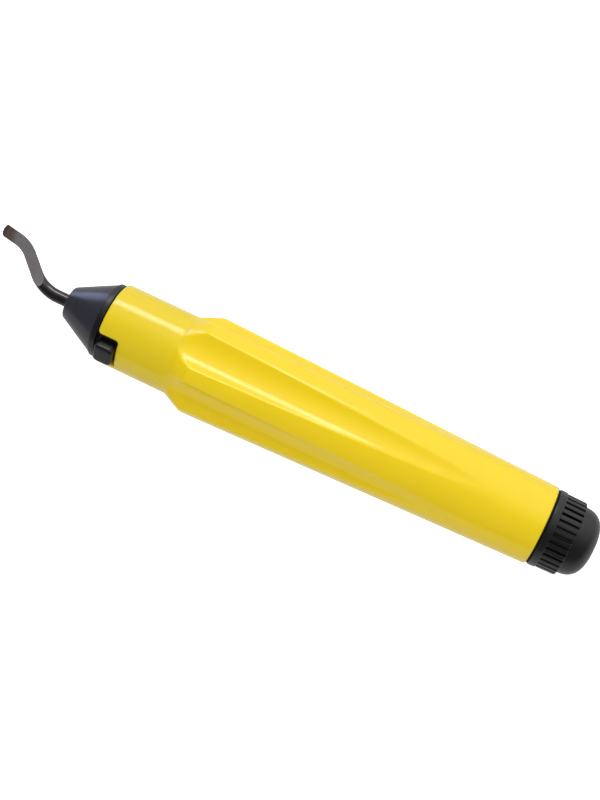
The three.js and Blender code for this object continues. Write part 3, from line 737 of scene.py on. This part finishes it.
def button_head_shape():
    """A block with rounded corners, a well rounded upper edge and a slightly crowned top."""
    outline = []
    corners = [(BUTTON_REAR, 1), (BUTTON_FRONT, 1), (BUTTON_FRONT, -1), (BUTTON_REAR, -1)]
    for turn, (station, side) in enumerate(corners):
        inward = -1 if station == BUTTON_REAR else 1
        centre = (station + inward * BUTTON_CORNER, side * (BUTTON_HALF_WIDTH - BUTTON_CORNER))
        for t in np.linspace(0, math.pi / 2, 9):
            angle = turn * math.pi / 2 + t
            outline.append((
                centre[0] + BUTTON_CORNER * math.cos(angle),
                centre[1] + BUTTON_CORNER * math.sin(angle),
            ))
    outline = np.array(outline)
    middle = np.array([(BUTTON_FRONT + BUTTON_REAR) / 2, 0.0])
    half = np.array([(BUTTON_REAR - BUTTON_FRONT) / 2, BUTTON_HALF_WIDTH])
    levels = [(HUB_BOTTOM, 0.0), (BUTTON_FOOT, 0.0)]
    for t in np.linspace(0, math.pi / 2, 9):
        height = BUTTON_TOP - BUTTON_CROWN - BUTTON_EDGE * (1 - math.sin(t))
        levels.append((height, BUTTON_EDGE * (1 - math.cos(t))))
    levels.append((BUTTON_TOP - 0.03, 1.4))
    levels.append((BUTTON_TOP, 2.2))
    rings = []
    for height, inset in levels:
        ring = middle + (outline - middle) * (1 - inset / half)
        rings.append(np.column_stack([ring, np.full(len(ring), height)]))
    return loft(np.array(rings), ends="lids")


def release_button(finish):
    """The button's head on its saddle and hub, with a slot for the latch plate's tongue."""
    points, faces = button_head_shape()
    piece = make_piece("release_button_moulding", (to_button(points), faces), finish,
                       "latch", "release_button")
    saddle_angles = np.linspace(-1, 1, 41) * math.asin(SADDLE_HALF_WIDTH / SADDLE_OUTER)
    corners = [
        (SADDLE_INNER, SADDLE_FRONT),
        (SADDLE_OUTER, SADDLE_FRONT),
        (SADDLE_OUTER, SADDLE_REAR),
        (SADDLE_INNER, SADDLE_REAR),
    ]
    section = [around_axis(radius, saddle_angles, station) for radius, station in corners]
    rings = np.array(section).transpose(1, 0, 2)
    saddle_points, saddle_faces = loft(rings, ends="lids")
    cut(piece, [
        (to_button(saddle_points), saddle_faces),
        box_shape(front=0.5, rear=5.4, half_width=2.5, bottom=HUB_BOTTOM, top=8.0),
    ], operation="UNION")
    cut(piece, [box_shape(front=1.15, rear=2.05, half_width=1.65, bottom=5.0, top=7.7)])
    smooth_again(piece, crease=32)


def thrust_ball_shape():
    front, rear = stations("thrust_ball")
    radius = (rear - front) / 2
    turns = np.linspace(0, math.pi, 26)[1:-1]
    outline = np.column_stack([radius * np.sin(turns), (front + rear) / 2 - radius * np.cos(turns)])
    return turned(outline, 48)


def latch_plate_shape():
    """A stamped plate: a wide part with an oblong hole, and a tongue that the button holds."""
    corners = [
        (3, -3.6), (3, 5), (1.6, 5), (1.6, 7.6), (-1.6, 7.6),
        (-1.6, 5), (-3, 5), (-3, -3.6), (-2, -4.6), (2, -4.6),
    ]
    outline = []
    for here, ahead in zip(corners, corners[1:] + corners[:1]):
        for t in np.linspace(0, 1, 9)[:-1]:
            outline.append(np.array(here) + t * (np.array(ahead) - here))
    outline = np.array(outline)
    hole_radius, hole_middle, half_stroke = 1.75, 0.95, 0.45
    arms = outline - np.array([0, hole_middle])
    directions = arms / np.linalg.norm(arms, axis=1)[:, None]
    cosine, sine = np.abs(directions[:, 0]), np.abs(directions[:, 1])
    straight = hole_radius / np.maximum(cosine, 1e-6)
    rounded = half_stroke * sine + np.sqrt(hole_radius ** 2 - (half_stroke * cosine) ** 2)
    hole = np.where(straight * sine <= half_stroke, straight, rounded)[:, None]
    front, thickness, edge = 1.2, 0.8, 0.08
    rows = []
    for station, inset in [(0, edge), (edge, 0), (thickness - edge, 0), (thickness, edge)]:
        rows.append((front + station, outline - directions * inset))
    for station, inset in [(thickness, edge), (thickness - edge, 0), (edge, 0), (0, edge)]:
        rows.append((front + station, np.array([0, hole_middle]) + directions * (hole + inset)))
    rings = [np.column_stack([np.full(len(flat), station), flat]) for station, flat in rows]
    points, faces = loft(np.array(rings), ends="loop")
    return to_button(points), faces


SPRING_TURNS = 5.5
SPRING_WIRE = 0.2
SPRING_COIL = 1.1
END_COILS = 0.12


def button_spring(finish):
    """A coil spring with closed ends."""
    low, high = SPRING_SEAT + SPRING_WIRE + 0.05, HUB_BOTTOM - SPRING_WIRE - 0.05
    around = np.linspace(0, 2 * math.pi, 13)[:-1]
    rings = []
    for t in np.linspace(0, 1, 200):
        turn = SPRING_TURNS * 2 * math.pi * t
        climb = smooth_step(-END_COILS, 1 + END_COILS, t) if 0 < t < 1 else t
        out = SPRING_COIL + SPRING_WIRE * np.cos(around)
        rings.append(np.stack([
            SPRING_STATION + out * math.cos(turn),
            out * math.sin(turn),
            low + (high - low) * climb + SPRING_WIRE * np.sin(around),
        ], axis=-1))
    points, faces = loft(np.array(rings), ends="lids")
    piece = make_piece("coil_spring", (to_button(points), faces), finish,
                       "handle", "button_spring")
    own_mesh(piece)


RIBS = 32
COLLAR_FRONT = 112.05
RIBS_FRONT = 113.9
RIBS_REAR = 118.8
COLLAR_RADIUS = reach("rear_cap", COLLAR_FRONT, RIBS_FRONT - 0.3)
RIB_RADIUS = 9.15
RIB_REAR_RADIUS = 9.05
DOME_RADIUS = 8.2
DOME_LENGTH = 5.65
DOME_FULLNESS = 2.65
COLLAR_EDGE = 0.3
RIB_EDGE = 0.35
HOLLOW_RADIUS = 5.4
SPIGOT_RADIUS = 6.8


def cap_columns():
    """Angles of one rib after another, and how much of a rib stands at each."""
    fractions = [-0.5, -0.39, -0.35, -0.32, -0.28, -0.16, 0.0, 0.16, 0.28, 0.32, 0.35, 0.39]
    heights = [0.0, 0.04, 0.45, 0.86, 0.97, 1.0, 1.0, 1.0, 0.97, 0.86, 0.45, 0.04]
    pitch = 2 * math.pi / RIBS
    angles = np.concatenate([(index + np.array(fractions)) * pitch for index in range(RIBS)])
    return angles, np.tile(heights, RIBS)


def cap_shape():
    """From the end of the hollow, out over the threaded spigot, collar, ribs and dome."""
    angles, rib = cap_columns()
    groove = DOME_RADIUS + 0.05
    rings = []

    def plain(radius, station):
        rings.append(around_axis(radius, angles, station))

    def ribbed(radius, station):
        rings.append(around_axis(groove + (radius - groove) * rib, angles, station))

    plain(2.7, CAP_END - 2)
    plain(5.0, RIBS_REAR + 1.2)
    plain(HOLLOW_RADIUS, RIBS_REAR)
    plain(HOLLOW_RADIUS, CAP_FRONT + 0.3)
    plain(HOLLOW_RADIUS + 0.2, CAP_FRONT)
    plain(SPIGOT_RADIUS - 0.3, CAP_FRONT)
    plain(SPIGOT_RADIUS, CAP_FRONT + 0.35)
    for station in np.arange(CAP_FRONT + 0.45, COLLAR_FRONT - 0.7, 0.12):
        fade = smooth_step(CAP_FRONT + 0.3, CAP_FRONT + 0.9, station)
        fade *= 1 - smooth_step(COLLAR_FRONT - 1.5, COLLAR_FRONT - 0.9, station)
        ridge = fade * thread_depth(angles, station, RIDGE_ROOT, RIDGE_CREST, RIDGE_HEIGHT)
        plain(SPIGOT_RADIUS + ridge, station)
    plain(SPIGOT_RADIUS, COLLAR_FRONT - 0.4)
    plain(SPIGOT_RADIUS, COLLAR_FRONT)
    for turn in np.linspace(0, math.pi / 2, 6):
        radius = COLLAR_RADIUS - COLLAR_EDGE * (1 - math.sin(turn))
        plain(radius, COLLAR_FRONT + COLLAR_EDGE * (1 - math.cos(turn)))
    plain(COLLAR_RADIUS - 0.05, RIBS_FRONT - 0.15)
    plain(COLLAR_RADIUS - 0.12, RIBS_FRONT - 0.03)
    ribbed(RIB_RADIUS, RIBS_FRONT + 0.1)
    for station in np.linspace(RIBS_FRONT + 0.5, RIBS_REAR - 0.45, 5):
        ribbed(np.interp(station, [RIBS_FRONT, RIBS_REAR], [RIB_RADIUS, RIB_REAR_RADIUS]), station)
    for turn in np.linspace(0.2, math.pi / 2, 5):
        radius = RIB_REAR_RADIUS - RIB_EDGE * (1 - math.cos(turn))
        ribbed(radius, RIBS_REAR - RIB_EDGE * (1 - math.sin(turn)))
    plain(groove, RIBS_REAR + 0.02)
    for t in np.linspace(0.04, 1, 26):
        along = math.sin(t * math.pi / 2) * (CAP_END - RIBS_REAR) / DOME_LENGTH
        radius = DOME_RADIUS * (1 - along ** DOME_FULLNESS) ** (1 / DOME_FULLNESS)
        plain(radius, RIBS_REAR + DOME_LENGTH * along)
    plain(1.0, CAP_END)
    return loft(np.array(rings))


def seal_shape():
    front, rear = stations("cap_seal")
    outer = reach("cap_seal", front, rear)
    outline = rounded_outline([
        (6.9, front, 0.1),
        (outer, front, 0.18),
        (outer, rear, 0.18),
        (6.9, rear, 0.1),
    ], steps=4, closed=True)
    return turned(outline, 160, ends="loop")


# ---------------------------------------------------------------- finishes

def linear(hex_colour):
    """An sRGB hex colour as the linear colour that a shader takes."""
    channels = [int(hex_colour[i:i + 2], 16) / 255 for i in (1, 3, 5)]
    return [c / 12.92 if c <= 0.04045 else ((c + 0.055) / 1.055) ** 2.4 for c in channels] + [1.0]


def add_node(tree, kind, links=None, **settings):
    """Adds a node. Settings are its properties, links are socket values or sockets to join."""
    node = tree.nodes.new(kind)
    for name, value in settings.items():
        setattr(node, name, value)
    for socket, value in (links or {}).items():
        if isinstance(value, bpy.types.NodeSocket):
            tree.links.new(value, node.inputs[socket])
        else:
            node.inputs[socket].default_value = value
    return node


def new_finish(name):
    """An empty finish: its material, node tree, shader and the place on the piece."""
    material = bpy.data.materials.new(name)
    material.use_nodes = True
    tree = material.node_tree
    tree.nodes.clear()
    shader = add_node(tree, "ShaderNodeBsdfPrincipled")
    add_node(tree, "ShaderNodeOutputMaterial", {"Surface": shader.outputs["BSDF"]})
    place = add_node(tree, "ShaderNodeTexCoord").outputs["Object"]
    return material, tree, shader, place


def size_to_scale(size):
    """The noise scale whose blotches are about this many millimetres across."""
    return 1 / (size * MM)


def pitch_to_scale(pitch):
    """The wave scale whose lines are this many millimetres apart."""
    return 2 * math.pi / (20 * pitch * MM)


def polished_yellow_abs():
    """Moulded ABS from a polished mould: a clear gloss over a slightly translucent yellow. The
    reflections waver a little where the skin sank, and handling has left a faint haze. The neck is
    coloured a shade darker than the rest of the barrel."""
    material, tree, shader, place = new_finish("polished_yellow_abs")
    shader.inputs["IOR"].default_value = 1.54
    shader.inputs["Subsurface Weight"].default_value = 0.3
    shader.inputs["Subsurface Radius"].default_value = (1.0, 0.75, 0.1)
    shader.inputs["Subsurface Scale"].default_value = 0.002
    cloud = add_node(tree, "ShaderNodeTexNoise", {
        "Vector": place,
        "Scale": size_to_scale(16),
        "Detail": 3.0,
    })
    over_store = add_node(tree, "ShaderNodeMix", {
        0: cloud.outputs["Fac"],
        6: linear("#F5D40C"),
        7: linear("#F9D80F"),
    }, data_type="RGBA")
    along = add_node(tree, "ShaderNodeSeparateXYZ", {"Vector": place}).outputs["X"]
    # Blends from the darker yellow on the neck to the barrel's own yellow further back.
    past_neck = add_node(tree, "ShaderNodeMapRange", {
        "Value": along,
        "From Min": RIM_X + 16.0 * MM,
        "From Max": RIM_X + 22.5 * MM,
    }, interpolation_type="SMOOTHSTEP")
    skin = add_node(tree, "ShaderNodeMix", {
        0: past_neck.outputs["Result"],
        6: linear("#E9CD14"),
        7: over_store.outputs[2],
    }, data_type="RGBA")
    haze = add_node(tree, "ShaderNodeTexNoise", {
        "Vector": place,
        "Scale": size_to_scale(4),
        "Detail": 5.0,
    })
    gloss = add_node(tree, "ShaderNodeMapRange", {
        "Value": haze.outputs["Fac"],
        "To Min": 0.13,
        "To Max": 0.22,
    })
    sink = add_node(tree, "ShaderNodeTexNoise", {
        "Vector": place,
        "Scale": size_to_scale(5.5),
        "Detail": 2.0,
    })
    bump = add_node(tree, "ShaderNodeBump", {
        "Height": sink.outputs["Fac"],
        "Strength": 0.12,
        "Distance": 0.03 * MM,
    })
    tree.links.new(skin.outputs[2], shader.inputs["Base Color"])
    tree.links.new(gloss.outputs["Result"], shader.inputs["Roughness"])
    tree.links.new(bump.outputs["Normal"], shader.inputs["Normal"])
    return material


def moulded_nylon(name, colours, gloss, grain_size, grain_depth):
    """Moulded nylon: a clouded colour, an uneven gloss and the mould's own grain. The grain is
    drawn coarser than the real one, so that it shows."""
    material, tree, shader, place = new_finish(name)
    shader.inputs["IOR"].default_value = 1.53
    cloud = add_node(tree, "ShaderNodeTexNoise", {
        "Vector": place,
        "Scale": size_to_scale(7),
        "Detail": 4.0,
    })
    colour = add_node(tree, "ShaderNodeMix", {
        0: cloud.outputs["Fac"],
        6: linear(colours[0]),
        7: linear(colours[1]),
    }, data_type="RGBA")
    wiped = add_node(tree, "ShaderNodeTexNoise", {
        "Vector": place,
        "Scale": size_to_scale(2),
        "Detail": 4.0,
    })
    sheen = add_node(tree, "ShaderNodeMapRange", {
        "Value": wiped.outputs["Fac"],
        "From Min": 0.3,
        "From Max": 0.7,
        "To Min": gloss[0],
        "To Max": gloss[1],
    })
    grain = add_node(tree, "ShaderNodeTexNoise", {
        "Vector": place,
        "Scale": size_to_scale(grain_size),
        "Detail": 2.0,
    })
    bump = add_node(tree, "ShaderNodeBump", {
        "Height": grain.outputs["Fac"],
        "Strength": 0.25,
        "Distance": grain_depth * MM,
    })
    tree.links.new(colour.outputs[2], shader.inputs["Base Color"])
    tree.links.new(sheen.outputs["Result"], shader.inputs["Roughness"])
    tree.links.new(bump.outputs["Normal"], shader.inputs["Normal"])
    return material


def satin_navy_nylon():
    """From a fine spark-eroded mould: a dark blue-grey with a soft, fairly tight sheen."""
    return moulded_nylon("satin_navy_nylon", ("#24242C", "#2A2A35"), (0.2, 0.28), 0.25, 0.006)


def black_nylon():
    """From a plain mould: near black and semi-gloss."""
    return moulded_nylon("black_nylon", ("#060607", "#0A0A0B"), (0.3, 0.4), 0.3, 0.008)


def black_rubber():
    """Moulded nitrile rubber: matt, slightly dusty, with no clear reflection."""
    material, tree, shader, place = new_finish("black_rubber")
    dust = add_node(tree, "ShaderNodeTexNoise", {
        "Vector": place,
        "Scale": size_to_scale(1.1),
        "Detail": 3.0,
    })
    colour = add_node(tree, "ShaderNodeMix", {
        0: dust.outputs["Fac"],
        6: linear("#0C0C0C"),
        7: linear("#181716"),
    }, data_type="RGBA")
    matt = add_node(tree, "ShaderNodeMapRange", {
        "Value": dust.outputs["Fac"],
        "To Min": 0.6,
        "To Max": 0.8,
    })
    tree.links.new(colour.outputs[2], shader.inputs["Base Color"])
    tree.links.new(matt.outputs["Result"], shader.inputs["Roughness"])
    return material


def steel_finish(name, colours, gloss, lines, line_settings, line_depth):
    """Bare or oxidised steel: a clouded tone and gloss, and the lines of how it was made, which
    are drawn coarser than the real ones, so that they show."""
    material, tree, shader, place = new_finish(name)
    shader.inputs["Metallic"].default_value = 1.0
    cloud = add_node(tree, "ShaderNodeTexNoise", {
        "Vector": place,
        "Scale": size_to_scale(1.6),
        "Detail": 4.0,
    })
    colour = add_node(tree, "ShaderNodeMix", {
        0: cloud.outputs["Fac"],
        6: linear(colours[0]),
        7: linear(colours[1]),
    }, data_type="RGBA")
    marks = add_node(tree, "ShaderNodeTexWave", {
        "Vector": place,
        "Scale": pitch_to_scale(lines),
        "Distortion": 1.2,
        "Detail": 3.0,
        "Detail Scale": 0.6,
    }, **line_settings)
    both = add_node(tree, "ShaderNodeMath", {
        0: cloud.outputs["Fac"],
        1: marks.outputs["Fac"],
    }, operation="MULTIPLY")
    sheen = add_node(tree, "ShaderNodeMapRange", {
        "Value": both.outputs["Value"],
        "From Max": 0.7,
        "To Min": gloss[0],
        "To Max": gloss[1],
    })
    bump = add_node(tree, "ShaderNodeBump", {
        "Height": marks.outputs["Fac"],
        "Strength": 0.2,
        "Distance": line_depth * MM,
    })
    tree.links.new(colour.outputs[2], shader.inputs["Base Color"])
    tree.links.new(sheen.outputs["Result"], shader.inputs["Roughness"])
    tree.links.new(bump.outputs["Normal"], shader.inputs["Normal"])
    return material


def oxide_black_steel():
    """High-speed steel left oxide black by its heat treatment: dark, with a thin sharp highlight."""
    return steel_finish("oxide_black_steel", ("#454243", "#565253"), (0.08, 0.14), 0.4,
                        {"bands_direction": "X"}, 0.002)


def ground_steel():
    """High-speed steel straight off the grinding wheel: warm grey, with fine lines across it,
    and straw-brown temper colour where the tip got hot."""
    material = steel_finish("ground_steel", ("#D8D0D3", "#E4DDE0"), (0.26, 0.34), 0.22,
                            {"bands_direction": "X"}, 0.001)
    tree = material.node_tree
    shader = next(node for node in tree.nodes if node.type == "BSDF_PRINCIPLED")
    bare = shader.inputs["Base Color"].links[0].from_socket
    place = add_node(tree, "ShaderNodeTexCoord").outputs["Object"]
    along = add_node(tree, "ShaderNodeSeparateXYZ", {"Vector": place}).outputs["X"]
    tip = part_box("blade")[0].x
    warmth = add_node(tree, "ShaderNodeMapRange", {
        "Value": along,
        "From Min": tip + 2.5 * MM,
        "From Max": tip + 5.0 * MM,
        "To Min": 0.75,
        "To Max": 0.0,
    }, interpolation_type="SMOOTHSTEP")
    tempered = add_node(tree, "ShaderNodeMix", {
        0: warmth.outputs["Result"],
        6: bare,
        7: linear("#97705A"),
    }, data_type="RGBA")
    tree.links.new(tempered.outputs[2], shader.inputs["Base Color"])
    return material


def turned_steel():
    """Turned and polished steel: clear reflections with fine rings round the axis."""
    return steel_finish("turned_steel", ("#B4B6B8", "#C8CACC"), (0.16, 0.28), 0.2,
                        {"bands_direction": "X"}, 0.002)


def drawn_spring_wire():
    """Drawn spring steel: bright, a little darker than turned steel, with lines from the die."""
    return steel_finish("drawn_spring_steel", ("#8F9193", "#A6A8AA"), (0.22, 0.36), 0.15,
                        {"bands_direction": "Y"}, 0.002)


# ---------------------------------------------------------------- bench, light and camera

ROOM_BRIGHT_SIDE = (0.25, 0.85, 0.45)
ROOM_LOW = 0.2
ROOM_HIGH = 1.1
BELOW = 0.7
CARD_HALF = 1.5
CARD_GLOW = 0.75
STRIP_TILT = math.radians(47)
STRIP_POWER = 1.4
FILL_POWER = 4.6
FRONT_POWER = 4.5
WINDOW_POWER = 1.2
VIEW_AZIMUTH = math.radians(26.0)
VIEW_ELEVATION = math.radians(75.6)
VIEW_DISTANCE = 0.339
VIEW_STATION = 48.475
VIEW_SIDE = 2.4


def studio():
    """A dim room that is brighter behind the tool. Below it, one even level stands for the light
    from the bench top."""
    world = bpy.data.worlds.new("studio")
    bpy.context.scene.world = world
    world.use_nodes = True
    tree = world.node_tree
    background = tree.nodes["Background"]
    direction = add_node(tree, "ShaderNodeTexCoord").outputs["Generated"]
    facing = add_node(tree, "ShaderNodeVectorMath", {
        0: direction,
        1: ROOM_BRIGHT_SIDE,
    }, operation="DOT_PRODUCT")
    level = add_node(tree, "ShaderNodeMapRange", {
        "Value": facing.outputs["Value"],
        "From Min": 0.1,
        "From Max": 1.0,
        "To Min": ROOM_LOW,
        "To Max": ROOM_HIGH,
    }, interpolation_type="SMOOTHSTEP")
    height = add_node(tree, "ShaderNodeSeparateXYZ", {"Vector": direction}).outputs["Z"]
    above = add_node(tree, "ShaderNodeMapRange", {
        "Value": height,
        "From Min": -0.1,
        "From Max": 0.05,
    })
    room = add_node(tree, "ShaderNodeMix", {
        0: above.outputs["Result"],
        2: BELOW,
        3: level.outputs["Result"],
    })
    background.inputs["Color"].default_value = (1, 1, 1, 1)
    tree.links.new(room.outputs[0], background.inputs["Strength"])
    bpy.context.scene.view_settings.view_transform = "Standard"


def bench():
    """A white card that glows a little, so that it stays plain. It leans by the tool's own taper,
    so that the lands and the rear rim touch it. The tool doesn't mirror it or take light from it,
    for which the room's lower half stands."""
    mesh = bpy.data.meshes.new("bench")
    corners = [(-1, -1, 0), (1, -1, 0), (1, 1, 0), (-1, 1, 0)]
    mesh.from_pydata([Vector(corner) * CARD_HALF for corner in corners], [], [[0, 1, 2, 3]])
    floor = bpy.data.objects.new("bench", mesh)
    bpy.context.scene.collection.objects.link(floor)
    material, _, shader, _ = new_finish("white_card")
    shader.inputs["Base Color"].default_value = (0.9, 0.9, 0.9, 1)
    shader.inputs["Roughness"].default_value = 0.9
    shader.inputs["Emission Color"].default_value = (1, 1, 1, 1)
    shader.inputs["Emission Strength"].default_value = CARD_GLOW
    mesh.materials.append(material)
    rise = AXIS_Z / MM - REAR_RADIUS
    run = BARREL_LENGTH - SHOULDER_END
    floor.rotation_euler.y = -math.atan2(rise, run)
    floor.location = (RIM_X + SHOULDER_END * MM, 0, -0.0001)
    floor.visible_glossy = False
    floor.visible_diffuse = False


def lamp(name, towards, distance, width, length, power, colour="#FFFFFF", glossy=True):
    """A soft box aimed at the middle of the tool."""
    data = bpy.data.lights.new(name, "AREA")
    data.shape = "RECTANGLE"
    data.size = width
    data.size_y = length
    data.energy = power
    data.color = linear(colour)[:3]
    light = bpy.data.objects.new(name, data)
    bpy.context.scene.collection.objects.link(light)
    middle = Vector((0, 0, AXIS_Z))
    direction = Vector(towards).normalized()
    light.location = middle + direction * distance
    light.rotation_mode = "QUATERNION"
    light.rotation_quaternion = direction.to_track_quat("Z", "Y")
    light.visible_glossy = glossy


def camera():
    data = bpy.data.cameras.new("camera")
    data.lens = 64.8
    data.sensor_width = 36
    view = bpy.data.objects.new("camera", data)
    bpy.context.scene.collection.objects.link(view)
    back = Vector((
        math.sin(VIEW_AZIMUTH) * math.cos(VIEW_ELEVATION),
        -math.cos(VIEW_AZIMUTH) * math.cos(VIEW_ELEVATION),
        math.sin(VIEW_ELEVATION),
    ))
    middle = Vector((RIM_X + VIEW_STATION * MM, VIEW_SIDE * MM, AXIS_Z))
    view.location = middle + back * VIEW_DISTANCE
    view.rotation_mode = "QUATERNION"
    view.rotation_quaternion = back.to_track_quat("Z", "Y")
    data.clip_start, data.clip_end = 0.01, 10
    bpy.context.scene.camera = view


# ---------------------------------------------------------------- build

studio()
bench()
camera()
lamp("strip", (-0.25, math.sin(STRIP_TILT), math.cos(STRIP_TILT)), 0.82, 0.4, 0.2, STRIP_POWER)
lamp("overhead_fill", (0.0, 0.05, 1.0), 1.2, 1.5, 1.5, FILL_POWER, glossy=False)
lamp("front_fill", (0.0, -1.0, 0.65), 1.0, 1.5, 0.8, FRONT_POWER, glossy=False)
lamp("cool_window", (-0.84, 0.54, 0.12), 0.8, 0.3, 0.3, WINDOW_POWER, colour="#A9BDEB")

yellow = polished_yellow_abs()
navy = satin_navy_nylon()
black = black_nylon()
rubber = black_rubber()
oxide = oxide_black_steel()
ground = ground_steel()
bright = turned_steel()
drawn = drawn_spring_wire()

make_piece("barrel_moulding", barrel_shape(), yellow, "handle", "barrel", crease=60)
make_piece("nose_cone_moulding", nose_cone_shape(), navy, "handle", "nose_cone")
make_piece("guide_bush_turning", guide_bush_shape(), bright, "handle", "guide_bush")
make_piece("bearing_ball", thrust_ball_shape(), bright, "handle", "thrust_ball")
holder_core(black)
blade("swivel_blade", "blade", "swivel_blade", REST_TURN, oxide, ground)
blade("stored_blade_1", "spare_blade_1", "handle", 0.0, oxide, ground)
blade("stored_blade_2", "spare_blade_2", "handle", 0.0, oxide, ground)
release_button(black)
make_piece("latch_plate_stamping", latch_plate_shape(), drawn, "latch", "latch_plate")
button_spring(drawn)
make_piece("rear_cap_moulding", cap_shape(), black, "cap", "rear_cap")
make_piece("cap_seal_ring", seal_shape(), rubber, "cap_carriage", "cap_seal")
